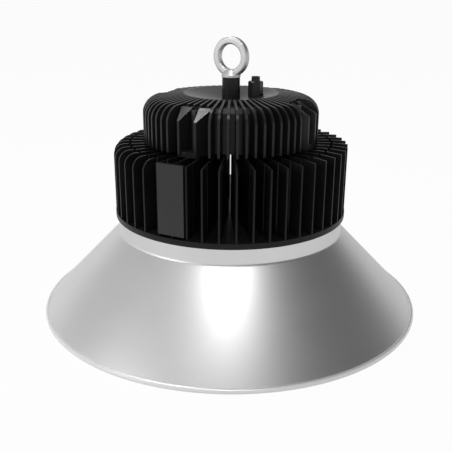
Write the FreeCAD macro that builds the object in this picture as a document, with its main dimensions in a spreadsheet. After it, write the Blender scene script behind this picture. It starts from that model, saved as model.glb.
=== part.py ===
"""High bay light: finned die castings, spun reflector and lifting eye.

A deep reflector hangs under a round LED heatsink. The driver housing stands
on four lugs over the heatsink, and a lifting eye carries the whole light.
Frame: Z is the axis of the light, Z = 0 is the bottom of the reflector's rim,
millimetres. The castings share a frame of their own, whose X axis points at the
nameplate; "turn" is its clockwise turn about Z.
"""
import FreeCAD
import Part
import Sketcher
import math
import os

doc = FreeCAD.newDocument("high_bay_light")

# --------------------------------------------------------------- dimensions
DIMENSIONS = [
    # reflector
    ("rim_radius", 250, "outer radius of the rolled rim"),
    ("bead", 3, "radius of the rolled rim's bead"),
    ("sheet", 1.5, "thickness of the spun sheet"),
    ("slope", 45, "fall of the cone, degrees below level"),
    ("neck_bend", 6, "outer bend radius between neck and cone"),
    ("flange_play", 4, "gap between the rib round the glass and the flange"),
    ("flange_hole", "=rib_outer + flange_play", "radius of the opening in the top flange"),
    ("flange_width", 26, "width of the top flange"),
    ("neck_radius", "=flange_hole + flange_width", "outer radius of the reflector's neck"),
    ("neck_height", 20.35736, "top of the reflector over the crease under its neck"),
    ("shade_screw_inset", 12, "distance of the reflector's screws from the opening"),
    ("shade_screw_circle", "=flange_hole + shade_screw_inset", "radius of the reflector's screw circle"),
    ("shade_screw_count", 6, "screws that hold the reflector"),
    # lower heatsink
    ("base_lip", 4, "reach of the base plate past the reflector's neck"),
    ("base_radius", "=neck_radius + base_lip", "radius of the heatsink's base plate"),
    ("base_thick", 7, "thickness of the base plate"),
    ("sink_height", 87, "height of the heatsink's fins"),
    ("sink_fin", 2.2, "thickness of a heatsink fin"),
    ("sink_count", 48, "fins round the heatsink"),
    ("fin_inset", 0.5, "step from the base plate's edge to the fins"),
    ("outer_tip", "=base_radius - fin_inset", "outer end of the outer fins"),
    ("outer_fin", 19.2, "length of an outer fin"),
    ("outer_root", "=outer_tip - outer_fin", "inner end of the outer fins"),
    ("fin_gap", 3.3, "gap between the outer and the inner fins"),
    ("inner_tip", "=outer_root - fin_gap", "outer end of the inner fins"),
    ("inner_root", 36, "inner end of the inner fins"),
    ("corner_round", 14, "rounded top corner of the fins on one side"),
    ("corner_fall", 1.6, "fall of the top edge of the square fins"),
    ("square_count", 26, "outer fins with a square corner"),
    ("pad_fins", 3, "outer fins that carry the nameplate"),
    ("post_radius", 8, "radius of the posts for the housing screws"),
    ("pad_width", 34.6, "width of the nameplate"),
    ("pad_thick", 3, "thickness of the pad behind the nameplate"),
    ("pad_inset", 1.5, "step from the base plate's edge to the nameplate"),
    ("pad_face", "=base_radius - pad_inset", "distance of the nameplate's face from the axis"),
    ("pad_gap", 3.2, "gap between the base plate and the pad"),
    ("pad_height", 85, "height of the nameplate"),
    ("plate_thick", 1.2, "thickness of the nameplate"),
    # light engine
    ("board_radius", 97, "radius of the LED board"),
    ("board_thick", 1.6, "thickness of the LED board"),
    ("board_lead_hole", 6.2, "radius of the leads' hole in the board"),
    ("chip_size", 5, "side of an LED"),
    ("chip_height", 0.9, "height of an LED"),
    ("chip_ring", 36, "radius of the innermost ring of LEDs"),
    ("chip_ring_step", 17.5, "distance between the rings of LEDs"),
    ("board_screw_circle", 62.4, "radius of the board's screw circle"),
    ("board_screw_count", 6, "screws that hold the board"),
    ("board_gap", 3, "gap between the board and the rib round it"),
    ("rib_inner", "=board_radius + board_gap", "inner radius of the rib round the board"),
    ("bezel_edge", 4.8, "distance of the bezel's screws from its edge"),
    ("rib_outer", "=bezel_screw_circle + bezel_edge", "outer radius of the rib round the board"),
    ("rib_height", 6, "height of the rib under the base plate"),
    ("glass_lap", 6.5, "reach of the glass over the rib"),
    ("glass_radius", "=rib_inner + glass_lap", "radius of the glass"),
    ("glass_thick", 4, "thickness of the glass"),
    ("seal_thick", 1.6, "thickness of the flat seals"),
    ("bezel_lip", 8, "reach of the bezel's lip under the glass"),
    ("bezel_inner", "=glass_radius - bezel_lip", "inner radius of the bezel"),
    ("bezel_thick", 2.2, "thickness of the bezel's lip"),
    ("bezel_play", 0.5, "gap between the glass and the bezel"),
    ("bezel_screw_inset", 5.7, "distance of the bezel's screws from the glass"),
    ("bezel_screw_circle", "=glass_radius + bezel_screw_inset", "radius of the bezel's screw circle"),
    ("bezel_screw_count", 8, "screws that hold the bezel"),
    # driver housing
    ("drum_lift", 2.6, "gap between the heatsink's fins and the housing"),
    ("core_radius", 90, "outer radius of the housing's wall"),
    ("core_wall", 6.5, "thickness of the housing's wall"),
    ("core_bore", "=core_radius - core_wall", "inner radius of the housing's wall"),
    ("core_chamfer", 5.2, "chamfer round the top of the wall"),
    ("floor_thick", 2.4, "thickness of the housing's floor plate"),
    ("floor_seat", 2.5, "width of the ledge over the floor plate"),
    ("fit", 0.2, "gap round a piece that drops into another"),
    ("chamber", 47, "height from the housing's mouth to its ceiling"),
    ("crown_wall", 6, "thickness of the ceiling under the fins"),
    ("well_wall", 4, "thickness of the ceiling under the well"),
    ("well_radius", 58.6, "radius of the dished well round the stem"),
    ("well_rim", 2, "width of the rim round the well"),
    ("crest", 12.2, "height of the fins' inner ends over the ceiling"),
    ("crest_fall", 4.2, "fall of the fins' top edges"),
    ("shoulder_round", 20, "radius of the fins' shoulders"),
    ("drum_reach", 22, "reach of the housing's fins past its wall"),
    ("drum_tip", "=core_radius + drum_reach", "outer end of the housing's fins"),
    ("drum_fin", 3, "thickness of a housing fin"),
    ("drum_count", 12, "fins in each quarter of the housing"),
    ("drum_pitch", 5.52, "angle between two housing fins"),
    ("slot_half", 9.8, "half the width of a screw recess at its mouth"),
    ("slot_neck", 4.7, "half the width of a screw recess at its inner end"),
    ("slot_inner", "=core_radius", "centre of the recess's round inner end"),
    ("slot_floor", 8.2, "depth of the recess's floor under the crown"),
    ("short_inset", 3.8, "step from the wall's face to the short fins"),
    ("short_tip", "=core_radius - short_inset", "outer end of the short fins over a recess"),
    ("short_count", 4, "short fins over each recess"),
    ("cheek_tip", 2.8, "width of a cheek rib at its tip"),
    ("cheek_root", 21.3, "reach of a cheek rib along the wall"),
    ("cheek_edge", 12.7, "fall of a cheek rib's top edge"),
    ("lug_width", 26, "width of a lug"),
    ("lug_root", 3, "reach of a lug into the wall"),
    ("lug_inner", "=core_radius - lug_root", "inner end of a lug"),
    ("lug_reach", 19, "reach of a lug past the wall"),
    ("lug_outer", "=core_radius + lug_reach", "outer end of a lug"),
    ("lug_rise", 3.8, "height of a lug over the housing's mouth"),
    ("pillar_radius", 4.4, "radius of the screw pillars"),
    ("screw_reach", 2, "distance of the housing's screws from the wall's face"),
    ("screw_circle", "=core_radius + screw_reach", "radius of the housing's screw circle"),
    ("floor_screw_inset", 4, "distance of the floor plate's screws from the wall"),
    ("floor_screw_circle", "=core_bore - floor_screw_inset", "radius of the floor plate's screw circle"),
    ("floor_screw_angle", 22, "angle of the first floor screw, degrees"),
    ("floor_boss", 5, "radius of the bosses for the floor screws"),
    ("boss_radius", 11.6, "radius of the stem's cast boss"),
    ("boss_height", 14, "height of the stem's cast boss"),
    # stem and lifting eye
    ("sleeve_radius", 11.3, "radius of the spacer sleeve"),
    ("sleeve_height", 13.8, "height of the spacer sleeve"),
    ("shank", 5, "radius of the eye bolt's shank"),
    ("shank_play", 0.25, "gap round the eye bolt's shank"),
    ("shank_end", 3, "thread below the nut"),
    ("collar_radius", 12.1, "radius of the eye bolt's collar"),
    ("collar_height", 2.5, "height of the collar's edge"),
    ("neck_top", 7.5, "radius at the top of the eye bolt's neck"),
    ("neck_rise", 8.5, "height of the eye bolt's neck"),
    ("eye_radius", 19.9, "radius to the middle of the ring"),
    ("eye_wire", 4.7, "half the width of the ring's section"),
    ("eye_flat", 4.7, "half the thickness of the ring's section"),
    ("eye_soft", 3, "corner radius of the ring's section"),
    ("eye_turn", 31, "turn of the ring about the axis, degrees"),
    ("washer_radius", 10, "radius of the eye bolt's washer"),
    ("washer_thick", 2, "thickness of the eye bolt's washer"),
    ("nut_corner", 9.8, "corner radius of the eye bolt's nut"),
    ("nut_height", 8, "height of the eye bolt's nut"),
    # cable gland
    ("gland_reach", 31.3, "distance of the gland from the axis"),
    ("gland_bearing", 122.7, "direction of the gland, degrees from X"),
    ("gland_hex", 9.6, "corner radius of the gland's hexagons"),
    ("gland_thread", 5.9, "radius of the gland's thread"),
    ("gland_bore", 3.6, "radius of the cable hole"),
    ("gland_grip", 3.3, "radius of the hole in the rubber insert"),
    ("gland_play", 0.2, "gap round the gland's thread"),
    ("gland_seat", 1.6, "height of the gland's seat over the well's floor"),
    ("gland_spot", 10.6, "radius of the gland's spot face"),
    ("gland_seal", 1.2, "thickness of the gland's seal"),
    ("gland_wall", 0.5, "room round the cable in the gland's body"),
    ("gland_collar", 7, "height of the collar that holds the insert"),
    ("gland_base", 6.6, "height of the gland's lower hexagon"),
    ("gland_cap", 12.6, "height of the gland's cap"),
    ("gland_neck", 5.4, "radius of the cap's outlet"),
    ("gland_neck_height", 5.8, "height of the cap's outlet"),
    ("gland_insert", 5.2, "radius of the rubber insert"),
    ("gland_nut", 4.5, "height of the gland's locknut"),
    ("gland_stub", 6.5, "thread of the gland below the ceiling"),
    # inside the housing
    ("driver_length", 104, "length of a driver's case"),
    ("driver_width", 42, "width of a driver's case"),
    ("driver_height", 34, "height of a driver's case"),
    ("driver_near", 19, "distance of a driver from the axis"),
    ("driver_ear", 8, "length of a driver's ears"),
    ("driver_ear_width", 16, "width of a driver's ears"),
    ("driver_ear_thick", 2, "thickness of a driver's ears"),
    ("tube_reach", 24, "distance of the lead tube from the axis"),
    ("tube_outer", 6, "outer radius of the lead tube"),
    ("tube_inner", 4.4, "inner radius of the lead tube"),
    ("tube_seat", 3, "depth of the lead tube's seat in the base plate"),
    ("tube_stand", 6.5, "height of the lead tube over the floor plate"),
    ("tube_nut", 9, "corner radius of the lead tube's nut"),
    ("tube_nut_height", 5, "height of the lead tube's nut"),
    ("lead", 1.3, "radius of an LED lead"),
    ("lead_space", 1.8, "distance of a lead from the tube's axis"),
    ("lead_height", 12, "height of the leads over the floor plate"),
    ("lead_bend", 4, "radius of the leads' bends"),
    ("lead_tail", 9, "length of a lead along the board"),
    # screws
    ("long_screw", 2.4, "radius of a housing screw"),
    ("long_head", 3.9, "head radius of a housing screw"),
    ("long_head_height", 5.5, "head height of a housing screw"),
    ("long_grip", 18, "length of a housing screw in its post"),
    ("small_screw", 1.9, "radius of a small screw"),
    ("small_head", 3.4, "head radius of a small screw"),
    ("small_head_height", 2.2, "head height of a small screw"),
    ("small_grip", 5, "length of a small screw in its thread"),
    ("screw_play", 0.15, "gap round a screw"),
    ("turn", 117.2, "clockwise turn of the castings, degrees"),
    # the cone's edge and the reflector's top follow from its rim, fall and neck
    ("cone_edge", "=rim_radius - bead + bead * sin(slope)", "radius where the bead starts"),
    ("cone_foot", "=bead + bead * cos(slope)", "height where the bead starts"),
    ("cone_rise", "=(cone_edge - neck_radius) * tan(slope)", "rise of the cone"),
    ("shade_height", "=cone_foot + cone_rise + neck_height", "top of the reflector"),
]

dims = doc.addObject("Spreadsheet::Sheet", "dims")
for row, (alias, size, meaning) in enumerate(DIMENSIONS, start=1):
    dims.set("A%d" % row, alias)
    dims.set("C%d" % row, meaning)
    dims.setAlias("B%d" % row, alias)
for row, (alias, size, meaning) in enumerate(DIMENSIONS, start=1):
    dims.set("B%d" % row, str(size))
doc.recompute()

# Heights along the axis, each one built on the value below it.
BASE_BOTTOM = "dims.shade_height"
BASE_TOP = "(dims.shade_height + dims.base_thick)"
RIB_BOTTOM = "(dims.shade_height - dims.rib_height)"
SEAL_BOTTOM = "(%s - dims.seal_thick)" % RIB_BOTTOM
GLASS_BOTTOM = "(%s - dims.glass_thick)" % SEAL_BOTTOM
BEZEL_BOTTOM = "(%s - dims.bezel_thick)" % GLASS_BOTTOM
BOARD_BOTTOM = "(dims.shade_height - dims.board_thick)"
SINK_TOP = "(%s + dims.sink_height)" % BASE_TOP
MOUTH = "(%s + dims.drum_lift)" % SINK_TOP
FLOOR_TOP = "(%s + dims.floor_thick)" % MOUTH
LEDGE = "(%s + dims.seal_thick)" % FLOOR_TOP
CEILING = "(%s + dims.chamber)" % MOUTH
CROWN = "(%s + dims.crown_wall)" % CEILING
WELL_FLOOR = "(%s + dims.well_wall)" % CEILING
CREST = "(%s + dims.crest)" % CEILING
SLOT_FLOOR = "(%s - dims.slot_floor)" % CROWN
GLAND_SEAT = "(%s + dims.gland_seat)" % WELL_FLOOR
BOSS_TOP = "(%s + dims.boss_height)" % WELL_FLOOR
SLEEVE_TOP = "(%s + dims.sleeve_height)" % BOSS_TOP
EYE_CENTRE = "(%s + dims.eye_radius + dims.eye_wire)" % SLEEVE_TOP
FIN_PITCH = "(360 / dims.sink_count)"
FIRST_FIN = "(45 - dims.drum_pitch * (dims.drum_count - 1) / 2)"
SHORT_PITCH = "(2 * %s / (dims.short_count + 1))" % FIRST_FIN
# Screw holes in the drivers' ears, from the axis.
EAR_X = "(dims.driver_length / 2 + dims.driver_ear / 2)"
EAR_Y = "(dims.driver_near + dims.driver_width / 2)"


# ------------------------------------------------------------------ helpers
def number(expression):
    """Value of an expression over the dimensions."""
    return float(dims.evalExpression(expression))


def new_body(label, turn="dims.turn", reach=None, bearing=None):
    """PartDesign body in the castings' frame, free to hold several solids.

    With a reach and a bearing the body's own axis stands off the main axis.
    """
    body = doc.addObject("PartDesign::Body", label)
    body.Label = label
    body.AllowCompound = True
    body.Placement = FreeCAD.Placement(
        FreeCAD.Vector(0, 0, 0), FreeCAD.Rotation(FreeCAD.Vector(0, 0, -1), 1))
    body.setExpression("Placement.Rotation.Angle", turn)
    if reach:
        direction = "(%s - dims.turn)" % bearing
        body.setExpression("Placement.Base.x", "%s * cos(%s)" % (reach, direction))
        body.setExpression("Placement.Base.y", "%s * sin(%s)" % (reach, direction))
    return body


def origin_of(body, role):
    """Plane or axis of the body's own origin with the given role."""
    for item in body.Origin.OriginFeatures:
        if item.Role == role:
            return item


def new_sketch(body, plane, height=None, turned=None):
    """Sketch on an origin plane, raised along it or turned about Z."""
    sketch = body.newObject("Sketcher::SketchObject", body.Label + "_sketch")
    sketch.AttachmentSupport = [(origin_of(body, plane), "")]
    sketch.MapMode = "FlatFace"
    if height:
        sketch.setExpression("AttachmentOffset.Base.z", height)
    if turned:
        sketch.AttachmentOffset = FreeCAD.Placement(
            FreeCAD.Vector(0, 0, 0), FreeCAD.Rotation(FreeCAD.Vector(0, 1, 0), 1))
        sketch.setExpression("AttachmentOffset.Rotation.Angle", turned)
    return sketch


def place_point(sketch, piece, end, x, y):
    """Dimension one end of a sketch element from the sketch's origin."""
    for kind, axis, expression in (("DistanceX", -2, x), ("DistanceY", -1, y)):
        if expression == "0":
            sketch.addConstraint(
                Sketcher.Constraint("PointOnObject", piece, end, axis))
            continue
        index = sketch.addConstraint(
            Sketcher.Constraint(kind, -1, 1, piece, end, number(expression)))
        sketch.setExpression("Constraints[%d]" % index, expression)


def draw_outline(sketch, corners):
    """Closed outline through the corners (x, y) or (x, y, radius, turn).

    A corner with a radius is reached by an arc, "left" or "right" as the
    outline turns, "long" added where the arc is over half a circle.
    """
    points = [FreeCAD.Vector(number(c[0]), number(c[1]), 0) for c in corners]
    ends = []
    for index, corner in enumerate(corners):
        start = points[index - 1]
        finish = points[index]
        if len(corner) == 2:
            piece = sketch.addGeometry(Part.LineSegment(start, finish), False)
            ends.append((piece, 1, 2))
            continue
        radius = number(corner[2])
        left = "left" in corner[3]
        chord = finish - start
        rise = math.sqrt(max(radius ** 2 - (chord.Length / 2) ** 2, 0))
        side = FreeCAD.Vector(-chord.y, chord.x, 0).normalize()
        if left == ("long" in corner[3]):
            side = -side
        centre = start + chord * 0.5 + side * rise
        first, last = (start, finish) if left else (finish, start)
        begin = math.atan2(first.y - centre.y, first.x - centre.x)
        end = math.atan2(last.y - centre.y, last.x - centre.x)
        if end < begin:
            end += 2 * math.pi
        circle = Part.Circle(centre, FreeCAD.Vector(0, 0, 1), radius)
        piece = sketch.addGeometry(Part.ArcOfCircle(circle, begin, end), False)
        index_r = sketch.addConstraint(Sketcher.Constraint("Radius", piece, radius))
        sketch.setExpression("Constraints[%d]" % index_r, corner[2])
        ends.append((piece, 1, 2) if left else (piece, 2, 1))
    for index, corner in enumerate(corners):
        piece, _, arrival = ends[index]
        following, departure, _ = ends[(index + 1) % len(ends)]
        sketch.addConstraint(
            Sketcher.Constraint("Coincident", piece, arrival, following, departure))
        place_point(sketch, piece, arrival, corner[0], corner[1])


def draw_circle(sketch, x, y, radius):
    """Circle whose centre and radius follow the dimensions."""
    centre = FreeCAD.Vector(number(x), number(y), 0)
    circle = Part.Circle(centre, FreeCAD.Vector(0, 0, 1), number(radius))
    piece = sketch.addGeometry(circle, False)
    if x == "0" and y == "0":
        sketch.addConstraint(Sketcher.Constraint("Coincident", piece, 3, -1, 1))
    else:
        place_point(sketch, piece, 3, x, y)
    index = sketch.addConstraint(
        Sketcher.Constraint("Radius", piece, number(radius)))
    sketch.setExpression("Constraints[%d]" % index, radius)


def draw_box(sketch, left, right, bottom, top):
    """Rectangle between two abscissas and two ordinates."""
    draw_outline(sketch, [(left, bottom), (right, bottom), (right, top), (left, top)])


def spin(body, sketch, cut=False, x=None):
    """Revolve a sketch about Z, or about a line parallel to Z at x."""
    kind = "PartDesign::Groove" if cut else "PartDesign::Revolution"
    feature = body.newObject(kind, body.Label + "_turned")
    feature.Profile = sketch
    if x is None:
        feature.ReferenceAxis = (sketch, ["V_Axis"])
    else:
        line = Part.LineSegment(FreeCAD.Vector(number(x), 0, 0),
                                FreeCAD.Vector(number(x), 10, 0))
        piece = sketch.addGeometry(line, True)
        sketch.addConstraint(Sketcher.Constraint("Vertical", piece))
        sketch.addConstraint(Sketcher.Constraint("PointOnObject", piece, 1, -1))
        place = sketch.addConstraint(
            Sketcher.Constraint("DistanceX", -1, 1, piece, 1, number(x)))
        sketch.setExpression("Constraints[%d]" % place, x)
        sketch.addConstraint(Sketcher.Constraint("DistanceY", piece, 1, piece, 2, 10))
        feature.ReferenceAxis = (sketch, ["Axis0"])
    feature.Angle = 360
    sketch.Visibility = False
    body.Tip = feature
    return feature


def raise_up(body, sketch, length, midplane=False):
    """Pad a sketch by a length, or half of it to each side."""
    feature = body.newObject("PartDesign::Pad", body.Label + "_raised")
    feature.Profile = sketch
    feature.setExpression("Length", length)
    feature.Midplane = midplane
    body.Tip = feature
    return feature


def cut_down(body, sketch, depth, up=False):
    """Pocket a sketch, downwards or upwards."""
    feature = body.newObject("PartDesign::Pocket", body.Label + "_cut")
    feature.Profile = sketch
    feature.setExpression("Length", depth)
    feature.Reversed = up
    body.Tip = feature
    return feature


def repeat_round(body, features, count, span="360"):
    """Repeat features about Z over a full turn or a span."""
    pattern = body.newObject("PartDesign::PolarPattern", body.Label + "_round")
    pattern.Originals = features
    pattern.Axis = (origin_of(body, "Z_Axis"), [""])
    pattern.setExpression("Angle", span)
    pattern.setExpression("Occurrences", count)
    body.Tip = pattern
    return pattern


def turned_piece(label, corners, **place):
    """Body revolved about its own axis from a half section."""
    body = new_body(label, **place)
    sketch = new_sketch(body, "XZ_Plane")
    draw_outline(sketch, corners)
    spin(body, sketch)
    return body


def ring_piece(label, inner, outer, bottom, top, **place):
    """Plain ring or disc; an inner radius of "0" leaves no hole."""
    return turned_piece(label, [(inner, bottom), (outer, bottom),
                                (outer, top), (inner, top)], **place)


def draw_four(sketch, x, y, radius):
    """Circles at the four corners (x, y) of a rectangle about the origin."""
    for across in ("", "-"):
        for along in ("", "-"):
            draw_circle(sketch, across + x, along + y, radius)


def draw_hexagon(sketch, corner):
    """Regular hexagon about the sketch's origin."""
    draw_outline(sketch, [("%s * cos(%d)" % (corner, 60 * side),
                           "%s * sin(%d)" % (corner, 60 * side)) for side in range(6)])


def drill_ring(body, x, radius, start, depth, count, up=False, turned=None):
    """Round holes on a circle, drilled down (or up) from a height."""
    sketch = new_sketch(body, "XY_Plane", height=start)
    if turned:
        draw_circle(sketch, "%s * cos(%s)" % (x, turned),
                    "%s * sin(%s)" % (x, turned), radius)
    else:
        draw_circle(sketch, x, "0", radius)
    hole = cut_down(body, sketch, depth, up)
    return repeat_round(body, [hole], count)


def screw_ring(label, x, count, seat, thread, grip, head, head_height, turned=None):
    """Cheese-head screws on a circle, driven upwards against a seat."""
    body = new_body(label)
    sketch = new_sketch(body, "XZ_Plane", turned=turned)
    under = "(%s - %s)" % (seat, head_height)
    draw_outline(sketch, [(x, under), ("%s + %s" % (x, head), under),
                          ("%s + %s" % (x, head), seat),
                          ("%s + %s" % (x, thread), seat),
                          ("%s + %s" % (x, thread), "%s + %s" % (seat, grip)),
                          (x, "%s + %s" % (seat, grip))])
    repeat_round(body, [spin(body, sketch, x=x)], count)
    return body


# ---------------------------------------------------------------- reflector
def build_reflector():
    """Spun aluminium sheet: top flange, neck, cone and rolled rim."""
    bead_x = "(dims.rim_radius - dims.bead)"
    crease = "(dims.shade_height - dims.neck_height)"
    outside = "(dims.neck_bend * tan(dims.slope / 2))"
    inner_bend = "(dims.neck_bend + dims.sheet)"
    step = "(dims.sheet * tan(dims.slope / 2))"
    inner_crease = "(%s - %s)" % (crease, step)
    inner_neck = "(dims.neck_radius - dims.sheet)"
    inside = "(%s * tan(dims.slope / 2))" % inner_bend
    core = "(dims.bead - dims.sheet)"
    reach = "sqrt(dims.bead^2 - %s^2)" % core
    end_x = "%s + %s * sin(dims.slope) - %s * cos(dims.slope)" % (bead_x, core, reach)
    end_z = "dims.bead + %s * cos(dims.slope) + %s * sin(dims.slope)" % (core, reach)
    body = turned_piece("reflector", [
        ("dims.flange_hole", BASE_BOTTOM + " - dims.sheet"),
        (inner_neck, BASE_BOTTOM + " - dims.sheet"),
        (inner_neck, "%s + %s" % (inner_crease, inside)),
        ("%s + %s * cos(dims.slope)" % (inner_neck, inside),
         "%s - %s * sin(dims.slope)" % (inner_crease, inside), inner_bend, "left"),
        (end_x, end_z),
        ("dims.cone_edge", "dims.cone_foot", "dims.bead", "left long"),
        ("dims.neck_radius + %s * cos(dims.slope)" % outside,
         "%s - %s * sin(dims.slope)" % (crease, outside)),
        ("dims.neck_radius", "%s + %s" % (crease, outside), "dims.neck_bend", "right"),
        ("dims.neck_radius", BASE_BOTTOM),
        ("dims.flange_hole", BASE_BOTTOM)])
    drill_ring(body, "dims.shade_screw_circle", "dims.small_screw + dims.screw_play",
               BASE_BOTTOM + " + 1", "dims.sheet + 2", "dims.shade_screw_count")
    screw_ring("reflector_screws", "dims.shade_screw_circle", "dims.shade_screw_count",
               "(%s - dims.sheet)" % BASE_BOTTOM, "dims.small_screw",
               "dims.sheet + dims.small_grip", "dims.small_head",
               "dims.small_head_height")
    return body


# ----------------------------------------------------------- lower heatsink
def fin_plate(body, corners, turned, count, span):
    """Radial plate from its outline, repeated round the axis."""
    sketch = new_sketch(body, "XZ_Plane", turned=turned)
    draw_outline(sketch, corners)
    plate = raise_up(body, sketch, "dims.sink_fin", midplane=True)
    repeat_round(body, [plate], count, span)


def build_lower_heatsink():
    """Casting: base plate with two rings of radial fins, posts and a pad."""
    body = turned_piece("lower_heatsink", [
        ("0", BASE_BOTTOM), ("dims.rib_inner", BASE_BOTTOM),
        ("dims.rib_inner", RIB_BOTTOM), ("dims.rib_outer", RIB_BOTTOM),
        ("dims.rib_outer", BASE_BOTTOM), ("dims.base_radius", BASE_BOTTOM),
        ("dims.base_radius", BASE_TOP), ("0", BASE_TOP)])

    # Threaded holes from below, and the way through for the LED leads.
    for circle, count, start in (
            ("dims.shade_screw_circle", "dims.shade_screw_count", BASE_BOTTOM),
            ("dims.board_screw_circle", "dims.board_screw_count", BASE_BOTTOM),
            ("dims.bezel_screw_circle", "dims.bezel_screw_count", RIB_BOTTOM)):
        drill_ring(body, circle, "dims.small_screw + dims.screw_play", start,
                   "dims.small_grip + 0.5", count, up=True)
    seat = new_sketch(body, "XY_Plane", height=BASE_TOP)
    draw_circle(seat, "-dims.tube_reach", "0", "dims.tube_outer + dims.fit")
    cut_down(body, seat, "dims.tube_seat")
    way = new_sketch(body, "XY_Plane", height=BASE_TOP)
    draw_circle(way, "-dims.tube_reach", "0", "dims.tube_inner")
    cut_down(body, way, "dims.base_thick + 1")

    # Flat pad for the nameplate, carried by its own short fins.
    root = "(%s - 1)" % BASE_TOP
    pad_front = "(dims.pad_face - dims.plate_thick)"
    short_tip = pad_front + " - dims.pad_thick / 4"
    fin_plate(body, [("dims.outer_root", root), (short_tip, root),
                     (short_tip, SINK_TOP), ("dims.outer_root", SINK_TOP)],
              "-%s * (dims.pad_fins - 1) / 2" % FIN_PITCH, "dims.pad_fins",
              "%s * (dims.pad_fins - 1)" % FIN_PITCH)
    pad = new_sketch(body, "XY_Plane", height=BASE_TOP + " + dims.pad_gap")
    draw_box(pad, pad_front + " - dims.pad_thick", pad_front,
             "-dims.pad_width / 2", "dims.pad_width / 2")
    raise_up(body, pad, "dims.pad_height")

    # Outer ring: square shoulders on one side, rounded ones on the other.
    beside_pad = "(%s * (dims.pad_fins + 1) / 2)" % FIN_PITCH
    round_count = "(dims.sink_count - dims.square_count - dims.pad_fins)"
    fin_plate(body, [("dims.outer_root", root), ("dims.outer_tip", root),
                     ("dims.outer_tip", SINK_TOP + " - dims.corner_fall"),
                     ("dims.outer_root", SINK_TOP)],
              beside_pad, "dims.square_count",
              "%s * (dims.square_count - 1)" % FIN_PITCH)
    fin_plate(body, [("dims.outer_root", root), ("dims.outer_tip", root),
                     ("dims.outer_tip", SINK_TOP + " - dims.corner_round"),
                     ("dims.outer_tip - dims.corner_round", SINK_TOP,
                      "dims.corner_round", "left"),
                     ("dims.outer_root", SINK_TOP)],
              "-%s - %s * (%s - 1)" % (beside_pad, FIN_PITCH, round_count),
              round_count, "%s * (%s - 1)" % (FIN_PITCH, round_count))

    # Inner ring, and the posts that carry the driver housing.
    fin_plate(body, [("dims.inner_root", root), ("dims.inner_tip", root),
                     ("dims.inner_tip", SINK_TOP), ("dims.inner_root", SINK_TOP)],
              "0", "dims.sink_count", "360")
    post = new_sketch(body, "XY_Plane", height=root)
    draw_circle(post, "dims.screw_circle", "0", "dims.post_radius")
    repeat_round(body, [raise_up(body, post, "dims.sink_height + 1")], "4")
    drill_ring(body, "dims.screw_circle", "dims.long_screw + dims.screw_play",
               SINK_TOP, "dims.long_grip + 2", "4")
    return body


def build_nameplate():
    """Bare flat plate on the heatsink's pad."""
    body = new_body("nameplate")
    sketch = new_sketch(body, "XY_Plane", height=BASE_TOP + " + dims.pad_gap")
    draw_box(sketch, "dims.pad_face - dims.plate_thick", "dims.pad_face",
             "-dims.pad_width / 2", "dims.pad_width / 2")
    raise_up(body, sketch, "dims.pad_height")
    return body


# ------------------------------------------------------------- light engine
def build_light_engine():
    """LED board and LEDs under the base plate, closed by glass and bezel."""
    board = ring_piece("led_board", "0", "dims.board_radius", BOARD_BOTTOM,
                       BASE_BOTTOM)
    drill_ring(board, "dims.board_screw_circle", "dims.small_screw + dims.screw_play",
               BASE_BOTTOM + " + 1", "dims.board_thick + 2", "dims.board_screw_count")
    way = new_sketch(board, "XY_Plane", height=BASE_BOTTOM + " + 1")
    draw_circle(way, "-dims.tube_reach", "0", "dims.board_lead_hole")
    cut_down(board, way, "dims.board_thick + 2")
    screw_ring("board_screws", "dims.board_screw_circle", "dims.board_screw_count",
               BOARD_BOTTOM, "dims.small_screw", "dims.board_thick + dims.small_grip",
               "dims.small_head", "dims.small_head_height")

    leds = new_body("leds")
    for ring in range(4):
        reach = "(dims.chip_ring + %d * dims.chip_ring_step)" % ring
        chip = new_sketch(leds, "XY_Plane",
                          height=BOARD_BOTTOM + " - dims.chip_height")
        draw_box(chip, reach + " - dims.chip_size / 2", reach + " + dims.chip_size / 2",
                 "-dims.chip_size / 2", "dims.chip_size / 2")
        repeat_round(leds, [raise_up(leds, chip, "dims.chip_height")],
                     str(12 + 6 * ring))

    ring_piece("lens_gasket", "dims.rib_inner + 0.5", "dims.glass_radius",
               SEAL_BOTTOM, RIB_BOTTOM)
    ring_piece("lens_glass", "0", "dims.glass_radius", GLASS_BOTTOM, SEAL_BOTTOM)
    pocket = "dims.glass_radius + dims.bezel_play"
    bezel = turned_piece("lens_bezel", [
        ("dims.bezel_inner", BEZEL_BOTTOM), ("dims.rib_outer", BEZEL_BOTTOM),
        ("dims.rib_outer", RIB_BOTTOM), (pocket, RIB_BOTTOM),
        (pocket, GLASS_BOTTOM), ("dims.bezel_inner", GLASS_BOTTOM)])
    drill_ring(bezel, "dims.bezel_screw_circle", "dims.small_screw + dims.screw_play",
               RIB_BOTTOM + " + 1",
               "dims.seal_thick + dims.glass_thick + dims.bezel_thick + 2",
               "dims.bezel_screw_count")
    screw_ring("bezel_screws", "dims.bezel_screw_circle", "dims.bezel_screw_count",
               BEZEL_BOTTOM, "dims.small_screw",
               "dims.seal_thick + dims.glass_thick + dims.bezel_thick"
               " + dims.small_grip", "dims.small_head", "dims.small_head_height")


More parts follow.
